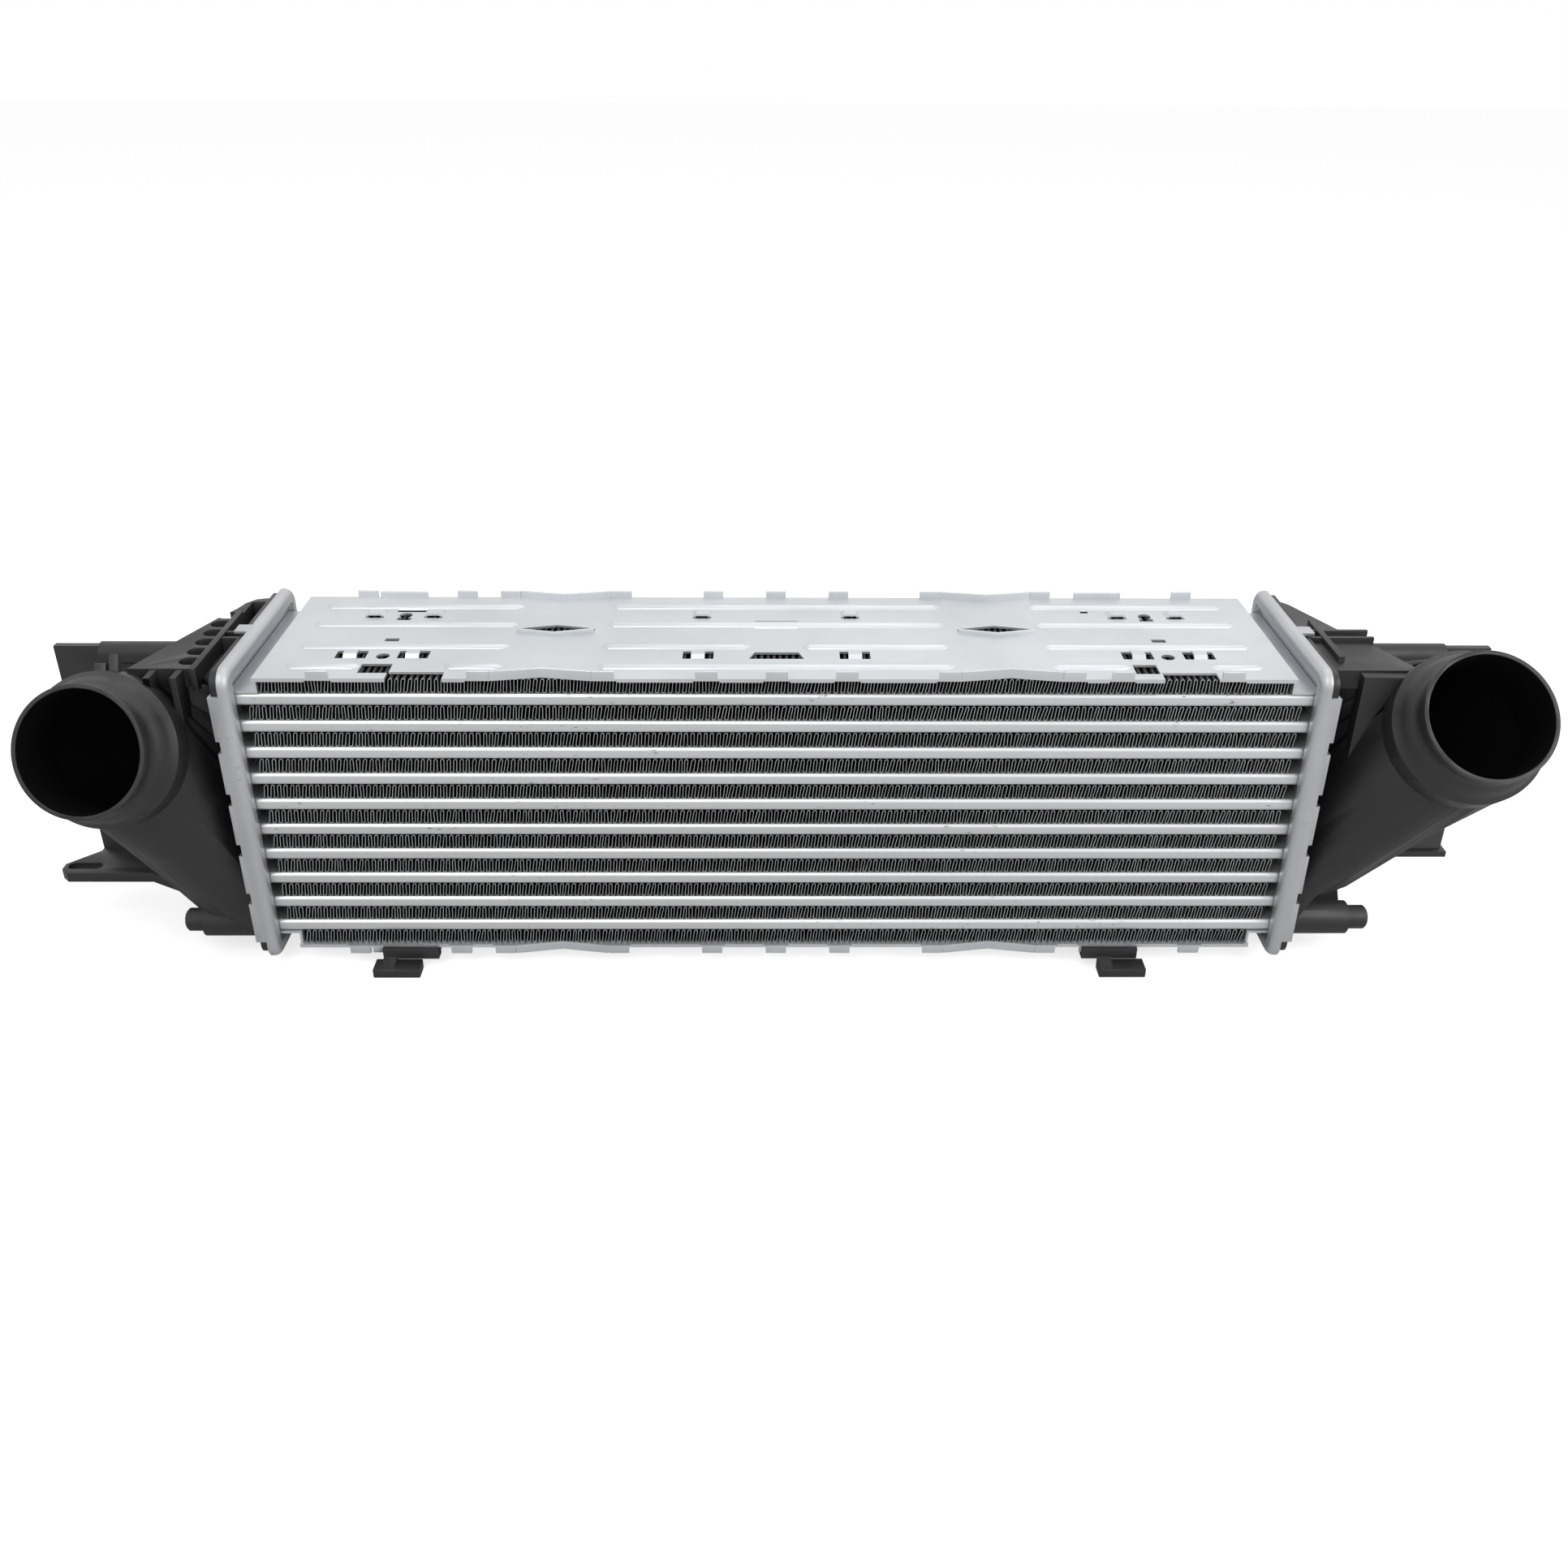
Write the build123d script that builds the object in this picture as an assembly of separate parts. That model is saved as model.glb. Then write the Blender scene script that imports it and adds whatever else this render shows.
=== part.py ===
from build123d import *
import os
from math import atan2, cos, radians, sin

# Charge-air intercooler: a brazed tube-and-fin core between two moulded end tanks.
# X runs along the tubes, the ports open toward -Y, Z is up. Millimetres.

# Core
tube_count = 10
tube_pitch = 14.36
tube_height = 6.5
tube_depth = 100.0
tube_wall = 0.5
tube_nose = 1.3
tube_end_out = 2.3
fin_pitch = 12.3
fin_sheet = 0.85
fin_setback = 1.0
fin_end_gap = 6.5
braze_gap = 0.05
turbulator_pitch = 15.0
turbulator_sheet = 0.4
turbulator_inset = 4.0

# Headers
core_half = 257.0
header_margin = 8.0
header_over = 5.07
header_corner = 9.0
header_sheet = 2.0
header_sink = 3.0
bead_radius = 4.0
groove_width = 4.0
skirt_length = 10.4
skirt_lip = 2.1
skirt_lip_sheet = 1.0
crimp_bite = 1.8
crimp_length = 6.5
crimp_pitch = 28.7
skirt_corner = 12.5
rim_out = 0.4
tongue_width = 8.5
tongue_reach = 6.5
tongue_sheet = 1.5
tongue_y = -3.0

# Side plates
plate_sheet = 1.2
plate_end_gap = 9.5
plate_margin = 2.0
plate_lap = 2.0
ledge_gap = 0.3
bead_width = 7.5
bead_height = 1.6
bead_slope = 40.0
bead_rows = (38.0, 14.0)
bead_middle = 87.0
bead_near = 131.0
bead_end = 11.5
front_bead_gaps = ((-199.0, -160.5), (172.0, 208.0))
tab_width = 10.6
tab_height = 3.9
tab_relief = 1.0
tab_spots = (33.3, 82.0, 141.0, 216.5)
lone_tab = 164.0
rim_drop = 0.7
waist_inset = 4.0
waist_span = (87.5, 111.5, 135.5)
louvre_length = 39.0
louvre_width = 13.6
louvre_blunt = 0.33
louvre_y = 6.6
louvre_rise = 2.4
bridge_slot = (15.0, 8.8)
bridge_length = 6.6
bridge_rise = 1.8
bridge_sheet = 1.0
bridge_y = 24.1
rear_bridge_slot = (9.6, 8.8)
rear_bridge_y = 27.1
bridge_spots = (38.3, 176.8, 207.0)
clip_hole_radius = 3.3
clip_hole_spot = (191.4, 26.0)
slit_size = (7.0, 3.5)
slit_rows = (21.4, -5.9)
key_size = (26.8, 7.8)
key_draft = 2.6
key_y = -24.6
key_clear = 12.0
punched_windows = (((0.0, 14.2), (22.0, 10.8)),
                   ((-191.9, -40.4), (14.8, 10.4)), ((177.5, -40.4), (11.4, 10.4)),
                   ((-207.3, 38.5), (6.8, 3.9)), ((-189.4, 35.5), (14.8, 9.9)),
                   ((161.0, 35.5), (4.1, 9.9)), ((177.5, 38.5), (11.0, 3.9)))
front_notches = ((-185.0, -158.0), (184.0, 210.0))
rear_flanges = ((-211.0, -184.0), (158.0, 185.0))
clip_flange_height = 3.4

# End tanks
seal_gap = 0.1
gasket_height = 2.6
foot_width = 3.7
tank_wall = 3.5
tank_corner = 8.0
wedge_drop = 5.0
wedge_sheet = 9.0
wedge_setback = 11.7
wedge_left = ((13.0, 3.7), (18.0, 5.3), (22.0, 10.6), (24.0, 18.1), (30.0, 31.7))
wedge_right = ((12.0, 6.1), (15.0, 9.8), (30.0, 44.4), (42.0, 67.2))
wedge_left_end = 52.5
wedge_right_end = 53.0
roof_drop = 5.0
roof_under = 8.0
roof_sheet = 1.5
neck_inner = (13.0, 2.1)
neck_outer_left = (49.0, 8.8)
neck_outer_right = (49.0, 7.1)
neck_rise_left = 22.0
neck_rise_right = 36.0
neck_lean_left = 0.13
neck_lean_right = 0.24
neck_corners_left = (12.0, 10.0, 14.0, 17.0)
neck_corners_right = (12.0, 10.0, 9.0, 24.0)
corner_steps = 3
side_steps = 8
rib_sheet = 3.0
rib_sink = 1.0
brace_sheet = 2.1
comb_x = 9.5
comb_rear = 44.0
comb_first = 25.5
comb_pockets = 6
comb_rib_y = (-45.0, 28.0)
comb_rib_rise = 1.5
comb_brace_y = (-6.2, 1.3)
comb_brace_rise = 0.8
cross_x = 6.5
cross_rib_y = (-32.0, 15.0)
cross_rib_rise = 3.0
cross_brace_y = (-7.5, 1.5)
cross_brace_end = 42.0
cross_brace_rise = 2.5
stiffener_left = (26.0, 38.5)
stiffener_left_reach = 10.0
stiffener_left_drop = 60.0
stiffener_right = (23.7, 46.0)
stiffener_right_reach = 6.0
stiffener_right_drop = 74.0
foot_bite = 1.0
pocket_pitch = 11.6
pocket_width = 8.4
pocket_reach = 9.0
spigot_bore = 59.0
spigot_lip = 63.0
spigot_neck = 61.6
spigot_step = 70.8
collar_diameter = 75.0
spigot_length = 32.0
lip_length = 3.5
neck_span = (5.5, 9.5)
step_span = (13.5, 19.0)
collar_start = 21.0
port_left = (63.5, 26.0, 27.8)
port_right = (71.3, 22.9, 9.9)
port_tilt_left = 24.5
port_tilt_right = 40.0
port_turn_left = 4.5
port_turn_right = 1.3
catch_back = 28.0
catch_low = (5.5, 7.0, 5.0)
catch_tall = (4.5, 13.0, 3.0)
catch_apart = 3.0
peg_diameter_left = 12.2
peg_diameter_right = 12.6
peg_end_left = 52.0
peg_end_right = 55.0
peg_y = -37.5
peg_rise_left = 13.0
peg_rise_right = 14.4
peg_chamfer = 1.2
peg_root = 2.5
peg_root_left = 42.0
peg_root_right = 44.0
web_sheet = 4.0
web_y = 20.0
web_end = 117.0
web_drop = 20.0
web_rise = 22.0
rail_diameter = 12.0
rail_rise = 1.5
rail_end = 93.0
arm_sheet = 5.6
arm_front = -6.5
arm_neck = (24.0, 81.0)
gusset_sheet = 3.4
gusset_edge = ((46.0, -18.0), (66.0, 1.0), (83.0, 16.0))
gusset_neck = 40.0
gusset_end = 119.0
ear_end = 131.0
ear_corner = 4.0
ear_back = (3.0, 17.0)
ear_slot = (18.5, 6.5)
ear_slot_spot = (119.5, 1.0)

# Bottom clips
clip_left_x = (-208.5, -204.5)
clip_right_x = (168.5, 160.0)
clip_foot = (24.0, 10.0, 5.6)
clip_drop = 6.47
clip_reach = 11.0
clip_tongue = 18.0
clip_leg = 7.0
clip_sheet = 2.1
clip_body_length = 29.0
clip_play = 0.25
clip_corner = 1.5

# Sizes that follow from those above
core_half_height = tube_pitch * (tube_count - 1) / 2
fin_height = tube_pitch - tube_height
fin_depth = tube_depth - 2 * fin_setback
plate_half = core_half - plate_end_gap
plate_depth = tube_depth + 2 * plate_margin
bead_far = plate_half - bead_end
plate_under = core_half_height + tube_height / 2 + fin_height
plate_top = plate_under + plate_sheet
header_depth = tube_depth + 2 * header_margin
header_top = plate_top + header_over
header_height = 2 * header_top
skirt_half = header_top - skirt_corner
ledge_under = core_half_height + tube_height / 2 + ledge_gap
panel_face = core_half + header_sink
panel_back = panel_face + header_sheet
tube_half = panel_back + tube_end_out
groove_floor = core_half + header_sheet
skirt_end = core_half + skirt_length
groove_y = header_depth / 2 - header_sheet
groove_z = header_height / 2 - header_sheet
panel_y = groove_y - groove_width
panel_z = groove_z - groove_width
recess_y = panel_y - header_sheet / 2
recess_z = panel_z - header_sheet / 2
gasket_face = groove_floor + seal_gap
foot_face = gasket_face + gasket_height + seal_gap
shoulder = skirt_end - skirt_lip_sheet - seal_gap
tank_y = groove_y - foot_width + seal_gap * 8
tank_z = groove_z - foot_width + seal_gap * 8
wedge_front = wedge_setback - tank_y
lip_top = plate_top + tab_height
edge_y = plate_depth / 2
wedge_top = header_top - wedge_drop
roof = wedge_top - roof_under
web_top = header_top - web_drop
web_foot = web_rise - header_top
clip_foot_top = -plate_top - clip_drop
clip_front = -edge_y - clip_reach


def tube_z(number):
    """Height of a tube's middle, counted from the top."""
    return core_half_height - tube_pitch * number


def block(x0, x1, y0, y1, z0, z1):
    """A box between two corners."""
    size = Box(abs(x1 - x0), abs(y1 - y0), abs(z1 - z0))
    return Pos((x0 + x1) / 2, (y0 + y1) / 2, (z0 + z1) / 2) * size


def polygon(points):
    """A flat face inside a closed run of lines."""
    return make_face(Polyline(*points, close=True))


def plan_prism(points, z0, z1):
    """An upright prism over an outline in the XY plane."""
    return extrude(Pos(0, 0, z0) * polygon(points), amount=z1 - z0, dir=(0, 0, 1))


def side_prism(points, x0, x1):
    """A prism along X over an outline of (y, z) points."""
    outline = polygon([(x0, y, z) for y, z in points])
    return extrude(outline, amount=x1 - x0, dir=(1, 0, 0))


def rounded_block(x0, x1, half_y, half_z, corner):
    """A slab across X whose YZ outline has rounded corners."""
    outline = Plane.YZ.offset(x0) * RectangleRounded(2 * half_y, 2 * half_z, corner)
    return extrude(outline, amount=x1 - x0)


def wave(half_length, pitch, height, sheet):
    """Closed outline of a folded sheet that runs from crest to root along its length."""
    folds = max(2, int(2 * half_length / pitch))
    start = -folds * pitch / 2
    upper = []
    lower = []
    for fold in range(2 * folds + 1):
        along = start + fold * pitch / 2
        crest = height / 2 if fold % 2 else -height / 2 + sheet
        upper.append((along, crest))
        lower.append((along, crest - sheet))
    return upper + lower[::-1]


# Core pieces
def tube_outline(grow):
    """Section of a flat tube with blunt noses, grown by a clearance."""
    half_y = tube_depth / 2 + grow
    half_z = tube_height / 2 + grow
    points = [(half_y, half_z - tube_nose), (half_y - tube_nose, half_z)]
    points += [(-y, z) for y, z in points[::-1]]
    points += [(y, -z) for y, z in points[::-1]]
    return polygon(points)


def tube(number):
    """Flat air tube, open at both ends."""
    section = Plane.YZ.offset(-tube_half) * (tube_outline(0) - tube_outline(-tube_wall))
    return Pos(0, 0, tube_z(number)) * extrude(section, amount=2 * tube_half)


def turbulator(number):
    """Folded strip inside a tube, its folds running along the air path."""
    half_width = tube_depth / 2 - tube_wall - turbulator_sheet
    height = tube_height - 2 * tube_wall - 2 * braze_gap
    points = wave(half_width, turbulator_pitch, height, turbulator_sheet)
    half_length = tube_half - turbulator_inset
    return Pos(0, 0, tube_z(number)) * side_prism(points, -half_length, half_length)


def fin(row):
    """Folded cooling fin between two tubes, or between a tube and a side plate."""
    outermost = row in (0, tube_count)
    reach = plate_half - plate_sheet if outermost else core_half
    points = wave(reach - fin_end_gap / 2, fin_pitch, fin_height - 2 * braze_gap, fin_sheet)
    outline = polygon([(x, fin_depth / 2, z) for x, z in points])
    folded = extrude(outline, amount=fin_depth, dir=(0, -1, 0))
    return Pos(0, 0, tube_z(row) + tube_pitch / 2) * folded


# Headers
def skirt_crimps():
    """Notches in the skirt's edge on the front and the rear."""
    notches = []
    for step in (-1.5, -0.5, 0.5, 1.5):
        middle = step * crimp_pitch
        low = middle - crimp_length / 2
        high = middle + crimp_length / 2
        edge = skirt_end - crimp_bite
        for side in (-1, 1):
            notches.append(block(edge, skirt_end + 1, side * panel_y, side * header_depth, low, high))
    return notches


def header():
    """Pressed tray that holds the tube ends, its rim a round bead round the tank's foot."""
    half_y = header_depth / 2
    half_z = header_height / 2
    tray = rounded_block(core_half, skirt_end, half_y, half_z, header_corner)
    front_rim = tray.faces().sort_by(Axis.X)[0].edges()
    tray = fillet(front_rim, bead_radius)
    inside_corner = header_corner - header_sheet
    tray -= rounded_block(panel_back, skirt_end - skirt_lip_sheet, groove_y, groove_z, inside_corner)
    lip_corner = inside_corner - skirt_lip
    tray -= rounded_block(panel_back, skirt_end + 1, groove_y - skirt_lip, groove_z - skirt_lip, lip_corner)
    moat = rounded_block(groove_floor, skirt_end - skirt_lip_sheet, groove_y, groove_z, inside_corner)
    moat -= rounded_block(groove_floor, skirt_end, panel_y, panel_z, inside_corner - groove_width)
    tray -= moat
    recess = rounded_block(core_half - 1, panel_face, recess_y, recess_z, inside_corner - groove_width)
    tray -= recess
    rim_end = foot_face + rim_out
    for side in (-1, 1):
        above = side * (half_z + 1)
        tray -= block(rim_end, skirt_end + 1, -half_y - 1, half_y + 1, side * skirt_half, above)
    for notch in skirt_crimps():
        tray -= notch
    for number in range(tube_count):
        hole = extrude(Plane.YZ.offset(core_half) * tube_outline(braze_gap), amount=skirt_length)
        tray -= Pos(0, 0, tube_z(number)) * hole
    tongue_low = half_z - tongue_sheet
    tongue_back = tongue_y + tongue_width / 2
    tongue_front = tongue_y - tongue_width / 2
    for side in (-1, 1):
        tray += block(rim_end - 1, rim_end + tongue_reach, tongue_front, tongue_back,
                      side * tongue_low, side * half_z)
    return tray


def gasket():
    """Moulded rubber ring in the header's groove, under the tank's foot."""
    corner = header_corner - header_sheet
    outer_y = groove_y - 2 * seal_gap
    outer_z = groove_z - 2 * seal_gap
    ring = rounded_block(gasket_face, gasket_face + gasket_height, outer_y, outer_z, corner)
    inner_y = panel_y + 2 * seal_gap
    inner_z = panel_z + 2 * seal_gap
    return ring - rounded_block(gasket_face, foot_face, inner_y, inner_z, corner - groove_width)


# Side plates
def bead(x0, x1, y):
    """Raised bead with pointed ends."""
    half = bead_width / 2
    points = [(x0, y), (x0 + half, y - half), (x1 - half, y - half),
              (x1, y), (x1 - half, y + half), (x0 + half, y + half)]
    outline = Pos(0, 0, plate_top - plate_sheet / 2) * polygon(points)
    return extrude(outline, amount=bead_height + plate_sheet / 2, taper=bead_slope)


def plate_beads():
    """The four rows of beads, in three groups along the plate."""
    outer_row, inner_row = bead_rows
    front_left, front_right = front_bead_gaps
    spans = []
    for y in (outer_row, inner_row, -inner_row):
        spans += [(-bead_far, -bead_near, y), (bead_near, bead_far, y)]
    for y in (outer_row, inner_row, -outer_row):
        spans.append((-bead_middle, bead_middle, y))
    spans += [(-bead_middle, -key_clear, -inner_row), (key_clear, bead_middle, -inner_row)]
    spans += [(-bead_far, front_left[0], -outer_row), (front_left[1], -bead_near, -outer_row)]
    spans += [(bead_near, front_right[0], -outer_row), (front_right[1], bead_far, -outer_row)]
    return [bead(x0, x1, y) for x0, x1, y in spans if x1 - x0 > 2 * bead_width]


def plate_outline():
    """Flat of the side plate, waisted where its edges fold up round a louvre."""
    near, middle, far = waist_span
    inset = edge_y - waist_inset
    edge = [(-plate_half, edge_y), (-far, edge_y), (-middle, inset), (-near, edge_y),
            (near, edge_y), (middle, inset), (far, edge_y), (plate_half, edge_y)]
    turned = [(-x, -y) for x, y in edge]
    return edge + turned


def louvre_outline(x):
    """Lens-shaped opening, its front edge first."""
    half = louvre_length / 2
    rise = louvre_width / 2
    blunt = rise * louvre_blunt
    front = [(x - half, louvre_y - blunt), (x, louvre_y - rise), (x + half, louvre_y - blunt)]
    rear = [(x + half, louvre_y + blunt), (x, louvre_y + rise), (x - half, louvre_y + blunt)]
    return front + rear


def louvre_lip(x):
    """Front edge of a louvre, folded up."""
    path = louvre_outline(x)[:3]
    outer = [(px, py - plate_sheet) for px, py in path]
    return plan_prism(path + outer[::-1], plate_under, plate_top + louvre_rise)


def bridge_strap(span):
    """Strap lanced up out of the plate, spanning its slot from front to rear."""
    half = span / 2
    top = plate_top + bridge_rise
    outer = [(-half, plate_under), (-half, plate_top), (bridge_rise - half, top)]
    inner = [(bridge_sheet - half, plate_under), (bridge_rise - half, top - bridge_sheet)]
    profile = outer + [(-y, z) for y, z in outer[::-1]] + [(-y, z) for y, z in inner] + inner[::-1]
    return side_prism(profile, -bridge_length / 2, bridge_length / 2)


def window(spot, size):
    """Punched rectangle, in plan."""
    return Pos(*spot) * Rectangle(*size)


def plate_windows():
    """Outlines of all the openings punched in the side plate."""
    openings = [window(spot, size) for spot, size in punched_windows]
    key_front = key_y - key_size[1] / 2
    key_rear = key_y + key_size[1] / 2
    half = key_size[0] / 2
    openings.append(polygon([(-half, key_front), (half, key_front), (half - key_draft, key_rear),
                             (key_draft - half, key_rear)]))
    hole_x, hole_y = clip_hole_spot
    for side in (-1, 1):
        openings.append(polygon(louvre_outline(side * waist_span[1])))
        for y in slit_rows:
            openings.append(window((side * hole_x, y), slit_size))
        openings.append(Pos(side * hole_x, hole_y) * Circle(clip_hole_radius))
        openings.append(Pos(side * hole_x, -hole_y) * Circle(clip_hole_radius))
        for x in bridge_spots:
            openings.append(window((side * x, -bridge_y), bridge_slot))
            openings.append(window((side * x, rear_bridge_y), rear_bridge_slot))
    return openings


def upright_strip(points, low, high):
    """Folded-up edge along a path in plan, one sheet thick toward the middle of the plate."""
    inner = [(x, y - plate_sheet if y > 0 else y + plate_sheet) for x, y in points]
    return plan_prism(points + inner[::-1], low, high)


def edge_runs(breaks):
    """Stretches of the plate's edge that lie between the breaks, from end to end."""
    runs = []
    start = -plate_half
    for low, high in sorted(breaks):
        if low - start > plate_sheet:
            runs.append((start, low))
        start = max(start, high)
    if plate_half - start > plate_sheet:
        runs.append((start, plate_half))
    return runs


def tab_places(side):
    """Middles of the fold-up tabs on the front (-1) or the rear (1) edge."""
    places = [0.0, -side * lone_tab]
    for spot in tab_spots:
        places += [-spot, spot]
    return places


def plate_edge(side):
    """Everything folded at the front (-1) or the rear (1) edge: tabs, waists, flanges and turned-down rim."""
    near, middle, far = waist_span
    outer = side * edge_y
    inner = side * (edge_y - plate_sheet)
    inset = side * (edge_y - waist_inset)
    folds = []
    breaks = [(-far, -near), (near, far)]
    for x in tab_places(side):
        folds.append(block(x - tab_width / 2, x + tab_width / 2, inner, outer, plate_under, lip_top))
        breaks.append((x - tab_width / 2 - tab_relief, x + tab_width / 2 + tab_relief))
    for mirror_x in (-1, 1):
        path = [(mirror_x * near, outer), (mirror_x * middle, inset), (mirror_x * far, outer)]
        folds.append(upright_strip(path, plate_under, lip_top))
    spans = front_notches if side < 0 else rear_flanges
    for x0, x1 in spans:
        breaks.append((x0, x1))
        if side > 0:
            flange_top = plate_top + clip_flange_height
            folds.append(block(x0 + tab_relief, x1 - tab_relief, inner, outer, plate_under, flange_top))
    for x0, x1 in edge_runs(breaks):
        folds.append(block(x0, x1, inner, outer, plate_under - rim_drop, plate_top))
    return folds


def plate_end(side):
    """Z-bend that steps down from the flat to the ledge beside the header."""
    half = edge_y - plate_lap
    bend = side * (plate_half - plate_sheet)
    ledge_top = ledge_under + plate_sheet
    step = block(bend, side * plate_half, -half, half, ledge_under, plate_top)
    ledge = block(bend, side * (panel_face - ledge_gap), -half, half, ledge_under, ledge_top)
    return [step, ledge]


def side_plate():
    """Stamped side plate in its top position: beads, louvres, bridges, tabs and folded edges."""
    flat = polygon(plate_outline())
    notches = []
    for x0, x1 in front_notches:
        notches.append(window(((x0 + x1) / 2, -edge_y), (x1 - x0, 2 * bead_width)))
    flat = flat - (notches + plate_windows())
    plate = Pos(0, 0, plate_under) * extrude(flat, amount=plate_sheet, dir=(0, 0, 1))
    forms = plate_beads()
    for side in (-1, 1):
        forms.append(louvre_lip(side * waist_span[1]))
        forms += plate_edge(side)
        forms += plate_end(side)
        for x in bridge_spots:
            forms.append(Pos(side * x, -bridge_y, 0) * bridge_strap(bridge_slot[1]))
            forms.append(Pos(side * x, rear_bridge_y, 0) * Rot(0, 0, 90) * bridge_strap(rear_bridge_slot[0]))
    return plate + forms


# End tanks, modelled with the header toward -X and mirrored for the left side
def ring_points(half_across, half_rise, radii):
    """Outline of a rectangle with rounded corners, once round from its outer side."""
    points = []
    for quarter, radius in enumerate(radii):
        across = (half_across - radius) * (1 if quarter in (0, 3) else -1)
        rise = (half_rise - radius) * (1 if quarter < 2 else -1)
        for step in range(corner_steps + 1):
            angle = radians(90 * (quarter + step / corner_steps))
            points.append((across + radius * cos(angle), rise + radius * sin(angle)))
    return points


def with_sides(corners, closing):
    """A ring's corner values with its straight sides cut into short lengths between them."""
    ring = []
    for index, (here, following) in enumerate(zip(corners, corners[1:] + [closing])):
        ring.append(here)
        if index % (corner_steps + 1) == corner_steps:
            for step in range(1, side_steps):
                share = step / side_steps
                ring.append(tuple(a + (b - a) * share for a, b in zip(here, following)))
    return ring


def port_frame(port, tilt, turn):
    """The port's own frame: mouth at the origin, its axis pointing out of the tank."""
    out, forward, drop = port
    place = Pos(core_half + out, -header_depth / 2 - forward, header_top - drop)
    return place * Rot(0, 0, turn) * Rot(90 - tilt, 0, 0)


def facets(near, far):
    """Flat triangles that join two rings of as many points."""
    faces = []
    for index in range(len(near)):
        following = (index + 1) % len(near)
        faces.append(Face(Wire.make_polygon([near[index], near[following], far[index]])))
        faces.append(Face(Wire.make_polygon([near[following], far[following], far[index]])))
    return faces


def tank_body(inset, left, frame):
    """Body from the header's opening, past the neck behind the port, to the back of the spigot."""
    outer = neck_outer_left if left else neck_outer_right
    floor = (neck_rise_left if left else neck_rise_right) - header_top
    lean = neck_lean_left if left else neck_lean_right
    radii = neck_corners_left if left else neck_corners_right
    run = Vector(outer[0] - neck_inner[0], outer[1] - neck_inner[1], 0)
    along = run.normalized()
    half_rise = (roof - floor) / 2
    setback = (neck_inner[1] + outer[1]) / 2
    start = Vector(core_half + (neck_inner[0] + outer[0]) / 2, setback - tank_y + lean * half_rise,
                   floor + half_rise)
    corners = [tank_corner - inset] * 4
    opening = ring_points(tank_y - inset, tank_z - roof_drop / 2 - inset, corners)
    throat = ring_points(run.length / 2 - inset, half_rise - inset, [radius - inset for radius in radii])
    angles = [(atan2(rise, across) % radians(360),) for across, rise in throat]
    around = with_sides(angles, (angles[0][0] + radians(360),))
    radius = collar_diameter / 2 - inset
    collar = [(frame * Pos(radius * cos(angle), radius * sin(angle), -spigot_length)).position
              for angle, in around]
    opening = [Vector(shoulder, across, rise - roof_drop / 2)
               for across, rise in with_sides(opening, opening[0])]
    throat = [start + along * across + Vector(0, lean * rise, rise)
              for across, rise in with_sides(throat, throat[0])]
    skin = facets(opening, throat) + facets(throat, collar)
    skin += [Face(Wire.make_polygon(opening)), Face(Wire.make_polygon(collar))]
    return Solid(Shell(skin))


def spigot(frame):
    """Hose spigot, turned about the port's axis: lip, neck, step and collar from its mouth back."""
    slope = step_span[0] - neck_span[1]
    profile = [(0, 0), (spigot_lip / 2, 0), (spigot_lip / 2, lip_length), (spigot_neck / 2, neck_span[0]),
               (spigot_neck / 2, neck_span[1]), (spigot_step / 2 - slope / 2, step_span[0]),
               (spigot_step / 2, step_span[1]), (collar_diameter / 2, collar_start),
               (collar_diameter / 2, spigot_length), (0, spigot_length)]
    outline = polygon([(r, 0, -place) for r, place in profile])
    return frame * revolve(outline, Axis.Z, 360)


def port_bore(frame):
    """Round passage behind the mouth of a port."""
    length = spigot_length + 1
    return frame * Pos(0, 0, -length / 2) * Cylinder(spigot_bore / 2, length)


def wedge_plan(left):
    """Plan of the tank behind the port: narrow at the rear, wide at the front."""
    root = shoulder - foot_bite
    edge = [(core_half + out, tank_y - inward) for out, inward in (wedge_left if left else wedge_right)]
    tip = core_half + (wedge_left_end if left else wedge_right_end)
    return [(root, edge[0][1])] + edge + [(tip, wedge_front), (root, wedge_front)]


def comb_ribs():
    """Left top: pockets along the wedge, and the long rib with its two braces."""
    rib_x = shoulder + comb_x
    deep = wedge_top - wedge_sheet
    over = wedge_top + rib_sink
    cuts = [block(shoulder + seal_gap, rib_x, wedge_front - rib_sink, comb_rear, deep, over)]
    near = rib_x + rib_sheet
    half = pocket_width / 2
    straight = near + pocket_reach - half
    for step in range(comb_pockets):
        middle = comb_first - step * pocket_pitch
        cuts.append(block(near, straight, middle - half, middle + half, deep, over))
        cuts.append(Pos(straight, middle, wedge_top) * Cylinder(half, 2 * wedge_sheet))
    low = deep - rib_sink
    ribs = [block(rib_x, near, *comb_rib_y, low, wedge_top + comb_rib_rise)]
    for y in comb_brace_y:
        ribs.append(block(shoulder - foot_bite, rib_x + rib_sink, y, y + brace_sheet, low,
                          wedge_top + comb_brace_rise))
    return cuts, ribs


def cross_ribs():
    """Right top: one long rib and a pair of braces that reach past the wedge."""
    rib_x = shoulder + cross_x
    deep = wedge_top - wedge_sheet
    ribs = [block(rib_x, rib_x + rib_sheet, *cross_rib_y, deep, wedge_top + cross_rib_rise)]
    for y in cross_brace_y:
        ribs.append(block(shoulder - foot_bite, core_half + cross_brace_end, y, y + brace_sheet,
                          deep + 2 * rib_sink, wedge_top + cross_brace_rise))
    return ribs


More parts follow.
